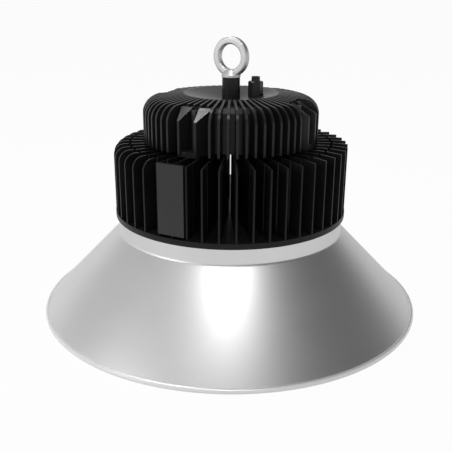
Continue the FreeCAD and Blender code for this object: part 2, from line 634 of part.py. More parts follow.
# ----------------------------------------------------------- driver housing
def add_cheeks(body):
    """Two cheek ribs beside each screw recess, with chamfered tops."""
    sketch = new_sketch(body, "XY_Plane", height=MOUTH)
    wall_x = "sqrt((dims.core_radius - 2)^2 - dims.cheek_root^2)"
    tip = "(dims.slot_half + dims.cheek_tip)"
    for side in ("", "-"):
        draw_outline(sketch, [
            (wall_x, side + "dims.slot_neck"),
            ("dims.slot_inner", side + "dims.slot_neck"),
            ("sqrt(dims.drum_tip^2 - dims.slot_half^2)", side + "dims.slot_half"),
            ("sqrt(dims.drum_tip^2 - %s^2)" % tip, side + tip),
            (wall_x, side + "dims.cheek_root")])
    cheeks = raise_up(body, sketch, "dims.chamber + dims.crest")
    repeat_round(body, [cheeks], "4")
    edge = new_sketch(body, "XZ_Plane")
    draw_outline(edge, [
        ("dims.core_bore", CROWN), ("dims.core_radius - 1", CROWN),
        ("dims.drum_tip", CROWN + " - dims.cheek_edge"),
        ("dims.drum_tip + 5", CROWN + " - dims.cheek_edge"),
        ("dims.drum_tip + 5", CREST + " + 5"), ("dims.core_bore", CREST + " + 5")])
    spin(body, edge, cut=True)


def add_fins(body, label, corners, first, pitch, count):
    """Radial fins from one outline: a run of them in each quarter."""
    sketch = new_sketch(body, "XZ_Plane", turned=first)
    draw_outline(sketch, corners)
    fin = raise_up(body, sketch, "dims.drum_fin", midplane=True)
    run = doc.addObject("PartDesign::PolarPattern", label + "_run")
    run.Axis = (origin_of(body, "Z_Axis"), [""])
    run.setExpression("Angle", "%s * (%s - 1)" % (pitch, count))
    run.setExpression("Occurrences", count)
    quarters = doc.addObject("PartDesign::PolarPattern", label + "_quarters")
    quarters.Axis = (origin_of(body, "Z_Axis"), [""])
    quarters.Angle = 360
    quarters.Occurrences = 4
    fins = body.newObject("PartDesign::MultiTransform", label)
    fins.Originals = [fin]
    fins.Transformations = [run, quarters]
    body.Tip = fins


def add_short_fins(body):
    """Low fins on the crown, from the well's rim to a recess and its cheeks."""
    inner = "(dims.well_radius + dims.well_rim / 2)"
    rim = "(dims.well_radius + dims.well_rim)"
    low = CROWN + " - dims.core_chamfer"
    fall = ("dims.crest_fall * (dims.short_tip - %s)"
            " / (dims.drum_tip - dims.shoulder_round - %s)" % (rim, rim))
    corners = [(inner, low), ("dims.short_tip", low),
               ("dims.short_tip", "%s - %s" % (CREST, fall)), (rim, CREST),
               (inner, CREST)]
    add_fins(body, "short_fins", corners, "-%s + %s" % (FIRST_FIN, SHORT_PITCH),
             SHORT_PITCH, "dims.short_count")


def add_drum_fins(body):
    """Fins that rise from the well's rim and round down to the mouth."""
    buried = "(dims.core_radius - 3)"
    inner = "(dims.well_radius + dims.well_rim / 2)"
    top = CREST + " - dims.crest_fall"
    corners = [
        (buried, MOUTH), ("dims.drum_tip", MOUTH),
        ("dims.drum_tip", top + " - dims.shoulder_round"),
        ("dims.drum_tip - dims.shoulder_round", top, "dims.shoulder_round", "left"),
        ("dims.well_radius + dims.well_rim", CREST), (inner, CREST),
        (inner, CROWN + " - dims.crown_wall / 2"),
        (buried, CROWN + " - dims.crown_wall / 2")]
    add_fins(body, "drum_fins", corners, FIRST_FIN, "dims.drum_pitch",
             "dims.drum_count")


def build_driver_housing():
    """Casting: finned drum with a dished top and four screw lugs."""
    rim = "(dims.well_radius + dims.well_rim)"
    body = turned_piece("driver_housing", [
        ("dims.core_radius", MOUTH), ("dims.core_radius", CROWN + " - dims.core_chamfer"),
        ("dims.core_radius - dims.core_chamfer", CROWN), (rim, CROWN), (rim, CREST),
        ("dims.well_radius", CREST),
        ("dims.boss_radius", WELL_FLOOR), ("dims.boss_radius", BOSS_TOP),
        ("dims.shank + dims.shank_play", BOSS_TOP),
        ("dims.shank + dims.shank_play", CEILING), ("dims.core_bore", CEILING),
        ("dims.core_bore", LEDGE), ("dims.core_bore + dims.floor_seat", LEDGE),
        ("dims.core_bore + dims.floor_seat", MOUTH)])
    add_cheeks(body)

    lug = new_sketch(body, "XY_Plane", height=SINK_TOP)
    draw_box(lug, "dims.lug_inner", "dims.lug_outer",
             "-dims.lug_width / 2", "dims.lug_width / 2")
    repeat_round(body, [raise_up(body, lug, "dims.drum_lift + dims.lug_rise")], "4")
    pillar = new_sketch(body, "XY_Plane", height=SINK_TOP)
    draw_circle(pillar, "dims.screw_circle", "0", "dims.pillar_radius")
    height = "%s - %s" % (SLOT_FLOOR, SINK_TOP)
    repeat_round(body, [raise_up(body, pillar, height)], "4")

    slot = new_sketch(body, "XY_Plane", height=CREST + " + 1")
    mouth_x = "sqrt(dims.drum_tip^2 - dims.slot_half^2)"
    draw_outline(slot, [
        (mouth_x, "-dims.slot_half"),
        ("dims.drum_tip + 5", "-dims.slot_half"), ("dims.drum_tip + 5", "dims.slot_half"),
        (mouth_x, "dims.slot_half"), ("dims.slot_inner", "dims.slot_neck"),
        ("dims.slot_inner - dims.slot_neck", "0", "dims.slot_neck", "left"),
        ("dims.slot_inner", "-dims.slot_neck", "dims.slot_neck", "left")])
    depth = "%s + 1 - %s" % (CREST, SLOT_FLOOR)
    repeat_round(body, [cut_down(body, slot, depth)], "4")

    boss = new_sketch(body, "XY_Plane", height=LEDGE)
    draw_circle(boss, "dims.floor_screw_circle * cos(dims.floor_screw_angle)",
                "dims.floor_screw_circle * sin(dims.floor_screw_angle)",
                "dims.floor_boss")
    rise = "%s - %s + 1" % (CEILING, LEDGE)
    repeat_round(body, [raise_up(body, boss, rise)], "4")
    drill_ring(body, "dims.floor_screw_circle", "dims.small_screw + dims.screw_play",
               LEDGE, "dims.small_grip + 2", "4", up=True,
               turned="dims.floor_screw_angle")
    drill_ring(body, "dims.screw_circle", "dims.long_screw + dims.screw_play",
               SLOT_FLOOR + " + 1", "%s - %s + 2" % (SLOT_FLOOR, SINK_TOP), "4")
    for radius, start, depth in (
            ("dims.gland_spot", CREST, "%s - %s" % (CREST, GLAND_SEAT)),
            ("dims.gland_thread + dims.gland_play", GLAND_SEAT,
             "%s - %s + 1" % (GLAND_SEAT, CEILING))):
        entry = new_sketch(body, "XY_Plane", height=start)
        draw_circle(entry, "dims.gland_reach * cos(dims.gland_bearing)",
                    "dims.gland_reach * sin(dims.gland_bearing)", radius)
        cut_down(body, entry, depth)
    add_short_fins(body)
    add_drum_fins(body)
    return body


def build_housing_screws():
    """Long screws from the recesses down into the heatsink's posts."""
    body = new_body("housing_screws")
    sketch = new_sketch(body, "XZ_Plane")
    x = "dims.screw_circle"
    head_top = SLOT_FLOOR + " + dims.long_head_height"
    tip = SINK_TOP + " - dims.long_grip"
    draw_outline(sketch, [(x, tip), (x + " + dims.long_screw", tip),
                          (x + " + dims.long_screw", SLOT_FLOOR),
                          (x + " + dims.long_head", SLOT_FLOOR),
                          (x + " + dims.long_head", head_top), (x, head_top)])
    repeat_round(body, [spin(body, sketch, x=x)], "4")


def build_floor():
    """Floor plate that closes the housing, its seal and its screws."""
    plate = ring_piece("floor_plate", "0",
                       "dims.core_bore + dims.floor_seat - dims.fit",
                       MOUTH, FLOOR_TOP)
    way = new_sketch(plate, "XY_Plane", height=FLOOR_TOP)
    draw_circle(way, "-dims.tube_reach", "0", "dims.tube_outer + dims.fit")
    cut_down(plate, way, "dims.floor_thick + 1")
    ears = new_sketch(plate, "XY_Plane", height=FLOOR_TOP)
    draw_four(ears, EAR_X, EAR_Y, "dims.small_screw + dims.screw_play")
    cut_down(plate, ears, "dims.floor_thick + 1")
    sink = new_sketch(plate, "XZ_Plane", turned="dims.floor_screw_angle")
    x = "dims.floor_screw_circle"
    wide = "dims.small_head + dims.screw_play"
    narrow = "dims.small_screw + dims.screw_play"
    draw_outline(sink, [(x, MOUTH + " - 1"), ("%s + %s" % (x, wide), MOUTH + " - 1"),
                        ("%s + %s" % (x, wide), MOUTH),
                        ("%s + %s" % (x, narrow), "%s + %s - (%s)" % (MOUTH, wide, narrow)),
                        ("%s + %s" % (x, narrow), FLOOR_TOP + " + 1"),
                        (x, FLOOR_TOP + " + 1")])
    repeat_round(plate, [spin(plate, sink, cut=True, x=x)], "4")

    ring_piece("floor_gasket", "dims.core_bore",
               "dims.core_bore + dims.floor_seat - dims.fit", FLOOR_TOP, LEDGE)
    screws = new_body("floor_screws")
    sketch = new_sketch(screws, "XZ_Plane", turned="dims.floor_screw_angle")
    draw_outline(sketch, [(x, MOUTH), (x + " + dims.small_head", MOUTH),
                          (x + " + dims.small_screw",
                           MOUTH + " + dims.small_head - dims.small_screw"),
                          (x + " + dims.small_screw", LEDGE + " + dims.small_grip"),
                          (x, LEDGE + " + dims.small_grip")])
    repeat_round(screws, [spin(screws, sketch, x=x)], "4")


# ------------------------------------------------------------------ drivers
def build_driver(label, side):
    """LED driver case with a screw ear at each end; side is "" or "-"."""
    body = new_body(label)
    near = side + "dims.driver_near"
    far = side + "(dims.driver_near + dims.driver_width)"
    case = new_sketch(body, "XY_Plane", height=FLOOR_TOP)
    draw_box(case, "-dims.driver_length / 2", "dims.driver_length / 2", near, far)
    raise_up(body, case, "dims.driver_height")
    ears = new_sketch(body, "XY_Plane", height=FLOOR_TOP)
    reach = "dims.driver_length / 2 + dims.driver_ear"
    draw_box(ears, "-(%s)" % reach, reach,
             "%s(%s - dims.driver_ear_width / 2)" % (side, EAR_Y),
             "%s(%s + dims.driver_ear_width / 2)" % (side, EAR_Y))
    raise_up(body, ears, "dims.driver_ear_thick")
    holes = new_sketch(body, "XY_Plane", height=FLOOR_TOP + " + dims.driver_ear_thick")
    for end in ("", "-"):
        draw_circle(holes, end + EAR_X, side + EAR_Y,
                    "dims.small_screw + dims.screw_play")
    cut_down(body, holes, "dims.driver_ear_thick + 1")


def build_driver_screws():
    """Screws through the drivers' ears, ending flush under the floor plate."""
    body = new_body("driver_screws")
    shanks = new_sketch(body, "XY_Plane", height=MOUTH)
    draw_four(shanks, EAR_X, EAR_Y, "dims.small_screw")
    raise_up(body, shanks, "dims.floor_thick + dims.driver_ear_thick")
    heads = new_sketch(body, "XY_Plane", height=FLOOR_TOP + " + dims.driver_ear_thick")
    draw_four(heads, EAR_X, EAR_Y, "dims.small_head")
    raise_up(body, heads, "dims.small_head_height")


def build_lead_tube():
    """Tube from the base plate into the housing, its nut and the LED leads."""
    place = {"reach": "dims.tube_reach", "bearing": "180"}
    ring_piece("lead_tube", "dims.tube_inner", "dims.tube_outer",
               BASE_TOP + " - dims.tube_seat", FLOOR_TOP + " + dims.tube_stand", **place)
    nut = new_body("lead_tube_nut", **place)
    sketch = new_sketch(nut, "XY_Plane", height=FLOOR_TOP)
    draw_hexagon(sketch, "dims.tube_nut")
    draw_circle(sketch, "0", "0", "dims.tube_outer")
    raise_up(nut, sketch, "dims.tube_nut_height")

    # Each lead leaves its driver, turns down the tube and turns in under
    # the LED board: straight runs joined by quarter turns.
    bend = number("dims.lead_bend")
    top = number(FLOOR_TOP + " + dims.lead_height")
    low = number(BOARD_BOTTOM + " - dims.lead")
    x = -number("dims.tube_reach")
    slant = bend * math.sqrt(0.5)
    leads = []
    for side in (1, -1):
        y = side * number("dims.lead_space")
        start = FreeCAD.Vector(x, side * number("dims.driver_near"), top)
        over = FreeCAD.Vector(x, y + side * bend, top)
        turn_in = FreeCAD.Vector(x, y + side * (bend - slant), top - bend + slant)
        down = FreeCAD.Vector(x, y, top - bend)
        lift = FreeCAD.Vector(x, y, low + bend)
        turn_out = FreeCAD.Vector(x + bend - slant, y, low + bend - slant)
        under = FreeCAD.Vector(x + bend, y, low)
        tail = FreeCAD.Vector(x + bend + number("dims.lead_tail"), y, low)
        path = Part.Wire([
            Part.LineSegment(start, over).toShape(),
            Part.Arc(over, turn_in, down).toShape(),
            Part.LineSegment(down, lift).toShape(),
            Part.Arc(lift, turn_out, under).toShape(),
            Part.LineSegment(under, tail).toShape()])
        section = Part.Circle(start, over - start, number("dims.lead"))
        leads.append(path.makePipeShell([Part.Wire([section.toShape()])], True, True))
    feature = doc.addObject("Part::Feature", "led_leads")
    feature.Label = "led_leads"
    feature.Shape = Part.makeCompound(leads)
    feature.Placement = FreeCAD.Placement(
        FreeCAD.Vector(0, 0, 0),
        FreeCAD.Rotation(FreeCAD.Vector(0, 0, -1), number("dims.turn")))


# ------------------------------------------------------------- lifting gear
def build_lifting_gear():
    """Spacer sleeve, forged eye bolt, and the washer and nut that hold it."""
    bore = "(dims.shank + dims.shank_play)"
    ring_piece("spacer_sleeve", bore, "dims.sleeve_radius", BOSS_TOP, SLEEVE_TOP)
    ring_piece("eye_washer", bore, "dims.washer_radius",
               CEILING + " - dims.washer_thick", CEILING)
    nut_bottom = "(%s - dims.washer_thick - dims.nut_height)" % CEILING
    nut = new_body("eye_nut")
    sketch = new_sketch(nut, "XY_Plane", height=nut_bottom)
    draw_hexagon(sketch, "dims.nut_corner")
    draw_circle(sketch, "0", "0", "dims.shank")
    raise_up(nut, sketch, "dims.nut_height")

    bolt = turned_piece("eye_bolt", [
        ("0", nut_bottom + " - dims.shank_end"),
        ("dims.shank", nut_bottom + " - dims.shank_end"), ("dims.shank", SLEEVE_TOP),
        ("dims.collar_radius", SLEEVE_TOP),
        ("dims.collar_radius", SLEEVE_TOP + " + dims.collar_height"),
        ("dims.neck_top", SLEEVE_TOP + " + dims.neck_rise"),
        ("0", SLEEVE_TOP + " + dims.neck_rise")], turn="dims.eye_turn")
    ring = new_sketch(bolt, "XY_Plane", height=EYE_CENTRE)
    inner = "(dims.eye_radius - dims.eye_wire)"
    outer = "(dims.eye_radius + dims.eye_wire)"
    soft = "dims.eye_soft"
    draw_outline(ring, [
        (outer, "dims.eye_flat - " + soft),
        ("%s - %s" % (outer, soft), "dims.eye_flat", soft, "left"),
        ("%s + %s" % (inner, soft), "dims.eye_flat"),
        (inner, "dims.eye_flat - " + soft, soft, "left"),
        (inner, "%s - dims.eye_flat" % soft),
        ("%s + %s" % (inner, soft), "-dims.eye_flat", soft, "left"),
        ("%s - %s" % (outer, soft), "-dims.eye_flat"),
        (outer, "%s - dims.eye_flat" % soft, soft, "left")])
    spin(bolt, ring)


# -------------------------------------------------------------- cable gland
def chamfer_hexagon(body, corner, level, top):
    """Turned chamfer on one end of a hexagonal bar, top or bottom."""
    fall = "%s(%s * 0.134 + 1) * tan(30)" % ("-" if top else "+", corner)
    sketch = new_sketch(body, "XZ_Plane")
    draw_outline(sketch, [(corner + " * 0.866", level), (corner + " + 1", level),
                          (corner + " + 1", "%s %s" % (level, fall))])
    spin(body, sketch, cut=True)


def build_gland():
    """Cable gland in the well: seal, body, rubber insert, cap and locknut."""
    place = {"reach": "dims.gland_reach", "bearing": "dims.gland_bearing"}
    body_bottom = "(%s + dims.gland_seal)" % GLAND_SEAT
    cap_bottom = "(%s + dims.gland_base)" % body_bottom
    cap_top = "(%s + dims.gland_cap)" % cap_bottom
    bore = "(dims.gland_bore + dims.gland_wall)"
    socket = "(%s + dims.gland_collar)" % cap_bottom
    ring_piece("gland_seal", "dims.gland_thread + dims.gland_play",
               "dims.gland_hex * 0.95", GLAND_SEAT, body_bottom, **place)

    body = new_body("gland_body", **place)
    sketch = new_sketch(body, "XY_Plane", height=body_bottom)
    draw_hexagon(sketch, "dims.gland_hex")
    raise_up(body, sketch, "dims.gland_base")
    chamfer_hexagon(body, "dims.gland_hex", body_bottom, top=False)
    stub = new_sketch(body, "XZ_Plane")
    draw_outline(stub, [
        ("0", CEILING + " - dims.gland_stub"),
        ("dims.gland_thread", CEILING + " - dims.gland_stub"),
        ("dims.gland_thread", body_bottom + " + 1"),
        ("dims.gland_insert + dims.gland_wall", body_bottom + " + 1"),
        ("dims.gland_insert + dims.gland_wall", socket), ("0", socket)])
    spin(body, stub)
    hollow = new_sketch(body, "XZ_Plane")
    draw_outline(hollow, [
        ("0", CEILING + " - dims.gland_stub - 1"),
        (bore, CEILING + " - dims.gland_stub - 1"), (bore, cap_bottom),
        ("dims.gland_insert", cap_bottom), ("dims.gland_insert", socket + " + 1"),
        ("0", socket + " + 1")])
    spin(body, hollow, cut=True)

    ring_piece("gland_insert", "dims.gland_grip", "dims.gland_insert", cap_bottom,
               socket, **place)

    cap = new_body("gland_cap", **place)
    sketch = new_sketch(cap, "XY_Plane", height=cap_bottom)
    draw_hexagon(sketch, "dims.gland_hex")
    raise_up(cap, sketch, "dims.gland_cap")
    chamfer_hexagon(cap, "dims.gland_hex", cap_top, top=True)
    outlet = new_sketch(cap, "XZ_Plane")
    draw_outline(outlet, [
        ("0", cap_top + " - 1"), ("dims.gland_neck", cap_top + " - 1"),
        ("dims.gland_neck", cap_top + " + dims.gland_neck_height"),
        ("0", cap_top + " + dims.gland_neck_height")])
    spin(cap, outlet)
    hollow = new_sketch(cap, "XZ_Plane")
    over = "dims.gland_insert + dims.gland_wall + dims.gland_play"
    draw_outline(hollow, [
        ("0", cap_bottom + " - 1"), (over, cap_bottom + " - 1"), (over, socket),
        ("dims.gland_bore", socket),
        ("dims.gland_bore", cap_top + " + dims.gland_neck_height + 1"),
        ("0", cap_top + " + dims.gland_neck_height + 1")])
    spin(cap, hollow, cut=True)

    nut = new_body("gland_locknut", **place)
    sketch = new_sketch(nut, "XY_Plane", height=CEILING + " - dims.gland_nut")
    draw_hexagon(sketch, "dims.gland_hex")
    draw_circle(sketch, "0", "0", "dims.gland_thread")
    raise_up(nut, sketch, "dims.gland_nut")


# -------------------------------------------------------------- the light
build_reflector()
build_lower_heatsink()
build_nameplate()
build_light_engine()
build_driver_housing()
build_housing_screws()
build_floor()
build_driver("driver_front", "-")
build_driver("driver_rear", "")
build_driver_screws()
build_lead_tube()
build_lifting_gear()
build_gland()
doc.recompute()

for item in doc.Objects:
    if "Invalid" in item.State or "Error" in item.State:
        raise RuntimeError("%s failed: %s" % (item.Name, item.State))
pieces = [item for item in doc.Objects
          if item.TypeId in ("PartDesign::Body", "Part::Feature")]
for piece in pieces:
    if piece.Shape.isNull() or not piece.Shape.isValid():
        raise RuntimeError("%s has no valid shape" % piece.Label)

os.makedirs("parts", exist_ok=True)
for piece in pieces:
    piece.Shape.exportStep("parts/%s.step" % piece.Label)
    print("%-20s solids %3d  volume %10.0f" % (
        piece.Label, len(piece.Shape.Solids), piece.Shape.Volume))
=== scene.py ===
"""High bay light: spun reflector, finned black castings and lifting eye."""
import math

import bpy
import numpy as np
from mathutils import Matrix, Vector


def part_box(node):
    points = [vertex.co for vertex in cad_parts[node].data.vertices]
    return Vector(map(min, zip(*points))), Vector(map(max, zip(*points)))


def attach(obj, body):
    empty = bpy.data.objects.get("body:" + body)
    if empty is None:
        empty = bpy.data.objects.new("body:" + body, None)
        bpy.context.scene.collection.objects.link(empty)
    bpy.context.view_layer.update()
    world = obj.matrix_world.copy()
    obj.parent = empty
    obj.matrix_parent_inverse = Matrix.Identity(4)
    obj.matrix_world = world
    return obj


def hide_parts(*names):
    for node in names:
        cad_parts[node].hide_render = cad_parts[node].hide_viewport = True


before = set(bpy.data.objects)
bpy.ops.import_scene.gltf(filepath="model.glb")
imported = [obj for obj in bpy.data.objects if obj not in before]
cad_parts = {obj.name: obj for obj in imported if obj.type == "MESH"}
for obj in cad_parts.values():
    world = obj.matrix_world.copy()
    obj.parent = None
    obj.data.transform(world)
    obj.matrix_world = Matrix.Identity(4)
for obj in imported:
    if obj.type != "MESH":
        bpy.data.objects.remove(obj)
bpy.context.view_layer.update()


# ------------------------------------------------------------- reflector
# One sheet of aluminium spun over a form on a lathe: a flange under the
# heatsink, a short neck, a straight cone and a rim rolled over into a bead.
# The spinning tool leaves fine rings, which stretch the highlights.
def new_group(name, inputs, outputs):
    """Empty shader node group with float or colour sockets, and its ends."""
    group = bpy.data.node_groups.new(name, "ShaderNodeTree")
    for label, start in inputs:
        kind = "NodeSocketFloat" if isinstance(start, float) else "NodeSocketColor"
        socket = group.interface.new_socket(name=label, in_out="INPUT",
                                            socket_type=kind)
        socket.default_value = start
    for label, kind in outputs:
        group.interface.new_socket(name=label, in_out="OUTPUT", socket_type=kind)
    entry = group.nodes.new("NodeGroupInput")
    leave = group.nodes.new("NodeGroupOutput")
    return group, entry, leave


def blotch_group():
    """Slow cloudy variation over a surface, from noise on Object coordinates.

    Mask = noise(position * Scale) stretched about a half by Contrast.
    """
    group, entry, leave = new_group(
        "cloudy handling", [("Scale", 14.0), ("Contrast", 1.6)],
        [("Mask", "NodeSocketFloat")])
    nodes, links = group.nodes, group.links
    place = nodes.new("ShaderNodeTexCoord")
    noise = nodes.new("ShaderNodeTexNoise")
    noise.inputs["Detail"].default_value = 4.0
    noise.inputs["Roughness"].default_value = 0.6
    centre = nodes.new("ShaderNodeMath")
    centre.operation = "SUBTRACT"
    centre.inputs[1].default_value = 0.5
    stretch = nodes.new("ShaderNodeMath")
    stretch.operation = "MULTIPLY_ADD"
    stretch.inputs[2].default_value = 0.5
    stretch.use_clamp = True
    links.new(place.outputs["Object"], noise.inputs["Vector"])
    links.new(entry.outputs["Scale"], noise.inputs["Scale"])
    links.new(noise.outputs["Fac"], centre.inputs[0])
    links.new(centre.outputs[0], stretch.inputs[0])
    links.new(entry.outputs["Contrast"], stretch.inputs[1])
    links.new(stretch.outputs[0], leave.inputs["Mask"])
    return group


def spin_marks_group():
    """Rings left by the spinning tool, from noise along the profile.

    The UV map holds the turn (0 to 1) and the run along the profile in
    metres; Mask = noise(turn * Round, run * Lines), so it changes quickly
    along the profile and slowly round the axis.
    """
    group, entry, leave = new_group(
        "spinning marks", [("Round", 5.0), ("Lines", 1400.0)],
        [("Mask", "NodeSocketFloat")])
    nodes, links = group.nodes, group.links
    place = nodes.new("ShaderNodeUVMap")
    place.uv_map = "turn_and_run"
    split = nodes.new("ShaderNodeSeparateXYZ")
    join = nodes.new("ShaderNodeCombineXYZ")
    around = nodes.new("ShaderNodeMath")
    around.operation = "MULTIPLY"
    along = nodes.new("ShaderNodeMath")
    along.operation = "MULTIPLY"
    noise = nodes.new("ShaderNodeTexNoise")
    noise.inputs["Scale"].default_value = 1.0
    noise.inputs["Detail"].default_value = 3.0
    noise.inputs["Roughness"].default_value = 0.7
    links.new(place.outputs["UV"], split.inputs[0])
    links.new(split.outputs["X"], around.inputs[0])
    links.new(entry.outputs["Round"], around.inputs[1])
    links.new(split.outputs["Y"], along.inputs[0])
    links.new(entry.outputs["Lines"], along.inputs[1])
    links.new(around.outputs[0], join.inputs["X"])
    links.new(along.outputs[0], join.inputs["Y"])
    links.new(join.outputs[0], noise.inputs["Vector"])
    links.new(noise.outputs["Fac"], leave.inputs["Mask"])
    return group


blotches = blotch_group()
spin_marks = spin_marks_group()


def new_material(name, base, roughness, metallic=0.0, specular=0.5):
    """Principled material with its plain values on the shader's sockets."""
    material = bpy.data.materials.new(name)
    material.use_nodes = True
    shader = material.node_tree.nodes["Principled BSDF"]
    shader.inputs["Base Color"].default_value = (*base, 1.0)
    shader.inputs["Roughness"].default_value = roughness
    shader.inputs["Metallic"].default_value = metallic
    shader.inputs["Specular IOR Level"].default_value = specular
    return material, shader


def place_group(material, group, **values):
    """A node group placed in a material with its own values."""
    node = material.node_tree.nodes.new("ShaderNodeGroup")
    node.node_tree = group
    for label, value in values.items():
        node.inputs[label].default_value = value
    return node


def drive_value(material, mask, socket, low, high):
    """Runs a shader value from low to high as the mask goes from 0 to 1."""
    run = material.node_tree.nodes.new("ShaderNodeMapRange")
    run.inputs["To Min"].default_value = low
    run.inputs["To Max"].default_value = high
    material.node_tree.links.new(mask, run.inputs["Value"])
    material.node_tree.links.new(run.outputs["Result"], socket)


def drive_colour(material, mask, socket, low, high):
    """Mixes a shader colour from low to high as the mask goes from 0 to 1."""
    mix = material.node_tree.nodes.new("ShaderNodeMix")
    mix.data_type = "RGBA"
    mix.inputs["A"].default_value = (*low, 1.0)
    mix.inputs["B"].default_value = (*high, 1.0)
    material.node_tree.links.new(mask, mix.inputs["Factor"])
    material.node_tree.links.new(mix.outputs["Result"], socket)


def add_bump(material, shader, mask, strength, distance):
    """Bump from a mask into the shader's Normal."""
    bump = material.node_tree.nodes.new("ShaderNodeBump")
    bump.inputs["Strength"].default_value = strength
    bump.inputs["Distance"].default_value = distance
    material.node_tree.links.new(mask, bump.inputs["Height"])
    material.node_tree.links.new(bump.outputs["Normal"], shader.inputs["Normal"])
    return bump


spun, spun_shader = new_material("spun aluminium", (0.80, 0.80, 0.80), 0.36,
                                 metallic=1.0)
spun_shader.inputs["Anisotropic"].default_value = 0.5
rings = place_group(spun, spin_marks, Round=4.0, Lines=1500.0)
clouds = place_group(spun, blotches, Scale=9.0, Contrast=1.4)
drive_value(spun, rings.outputs["Mask"], spun_shader.inputs["Roughness"], 0.30, 0.44)
drive_colour(spun, clouds.outputs["Mask"], spun_shader.inputs["Base Color"],
             (0.74, 0.74, 0.745), (0.84, 0.84, 0.84))
add_bump(spun, spun_shader, rings.outputs["Mask"], 0.10, 0.0002)


def paint_bead_highlight(material, shader, top, fade):
    """Painted highlight on the bead: whiter, less metallic colour and a smoother
    finish below a height.
    """
    nodes, links = material.node_tree.nodes, material.node_tree.links
    place = nodes.new("ShaderNodeTexCoord")
    split = nodes.new("ShaderNodeSeparateXYZ")
    low = nodes.new("ShaderNodeMapRange")
    low.inputs["From Min"].default_value = top
    low.inputs["From Max"].default_value = top - fade
    links.new(place.outputs["Object"], split.inputs[0])
    links.new(split.outputs["Z"], low.inputs["Value"])
    for socket, kind, painted_white in (("Base Color", "RGBA", (0.97, 0.97, 0.97, 1.0)),
                                 ("Roughness", "FLOAT", 0.25)):
        mix = nodes.new("ShaderNodeMix")
        mix.data_type = kind
        links.new(low.outputs["Result"], mix.inputs["Factor"])
        links.new(shader.inputs[socket].links[0].from_socket, mix.inputs["A"])
        mix.inputs["B"].default_value = painted_white
        links.new(mix.outputs["Result"], shader.inputs[socket])
    matt = nodes.new("ShaderNodeMapRange")
    matt.inputs["To Min"].default_value = 1.0
    matt.inputs["To Max"].default_value = 0.10
    links.new(low.outputs["Result"], matt.inputs["Value"])
    links.new(matt.outputs["Result"], shader.inputs["Metallic"])


# The bead's whiter, less metallic colour is a painted highlight that stands in for
# its bright reflection.
paint_bead_highlight(spun, spun_shader, 0.0062, 0.0008)


def grid_surface(name, points, wrap_rows, wrap_columns, uv=None):
    """Mesh of a grid of points [row, column, xyz], joined up where it wraps.

    uv, if given, is an array [row, column, 2] with one more row or column
    where the grid wraps, and becomes the map "turn_and_run".
    """
    rows, columns = points.shape[:2]
    a = np.arange(rows if wrap_rows else rows - 1)
    b = np.arange(columns if wrap_columns else columns - 1)
    i, j = np.meshgrid(a, b, indexing="ij")
    i2 = (i + 1) % rows
    j2 = (j + 1) % columns
    quads = np.stack([i * columns + j, i2 * columns + j,
                      i2 * columns + j2, i * columns + j2], axis=-1).reshape(-1, 4)
    mesh = bpy.data.meshes.new(name)
    mesh.vertices.add(rows * columns)
    mesh.vertices.foreach_set("co", points.reshape(-1).astype(np.float32))
    mesh.loops.add(quads.size)
    mesh.loops.foreach_set("vertex_index", quads.reshape(-1).astype(np.int32))
    mesh.polygons.add(len(quads))
    mesh.polygons.foreach_set("loop_start",
                              np.arange(0, quads.size, 4, dtype=np.int32))
    mesh.update(calc_edges=True)
    if uv is not None:
        layer = mesh.uv_layers.new(name="turn_and_run")
        corners = np.stack([uv[i, j], uv[i + 1, j], uv[i + 1, j + 1],
                            uv[i, j + 1]], axis=-2).reshape(-1, 2)
        layer.data.foreach_set("uv", corners.reshape(-1).astype(np.float32))
    mesh.validate()
    mesh.shade_smooth()
    mesh.set_sharp_from_angle(angle=math.radians(35))
    return mesh


def arc(centre, radius, start, stop, count):
    """Points of an arc in the half section, angles in degrees from outwards."""
    angle = np.radians(np.linspace(start, stop, count))
    return np.stack([centre[0] + radius * np.cos(angle),
                     centre[1] + radius * np.sin(angle)], axis=-1)


def line(start, stop, count):
    """Points of a straight run in the half section."""
    return np.linspace(start, stop, count)


def revolve(name, profile, count=256, uv=True):
    """Closed half section carried round Z.

    P(i, k) = (r_k cos a_i, r_k sin a_i, z_k) with a_i = 2 pi i / count.
    """
    turn = 2 * np.pi * np.arange(count) / count
    radius, height = profile[:, 0], profile[:, 1]
    points = np.stack([np.cos(turn)[:, None] * radius,
                       np.sin(turn)[:, None] * radius,
                       np.broadcast_to(height, (count, len(height)))], axis=-1)
    looped = np.vstack([profile, profile[:1]])
    run = np.concatenate([[0], np.cumsum(np.linalg.norm(np.diff(looped, axis=0),
                                                        axis=1))])
    grid_u, grid_v = np.meshgrid(np.arange(count + 1) / count, run, indexing="ij")
    return grid_surface(name, points, True, True,
                        np.stack([grid_u, grid_v], axis=-1) if uv else None)


def add_piece(name, mesh, material, slot, *nodes):
    """Object of a mesh with its material, body and the nodes it replaces; slot is not
    used.
    """
    piece = bpy.data.objects.new(name, mesh)
    bpy.context.scene.collection.objects.link(piece)
    mesh.materials.clear()
    mesh.materials.append(material)
    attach(piece, "root")
    if nodes:
        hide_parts(*nodes)
    return piece


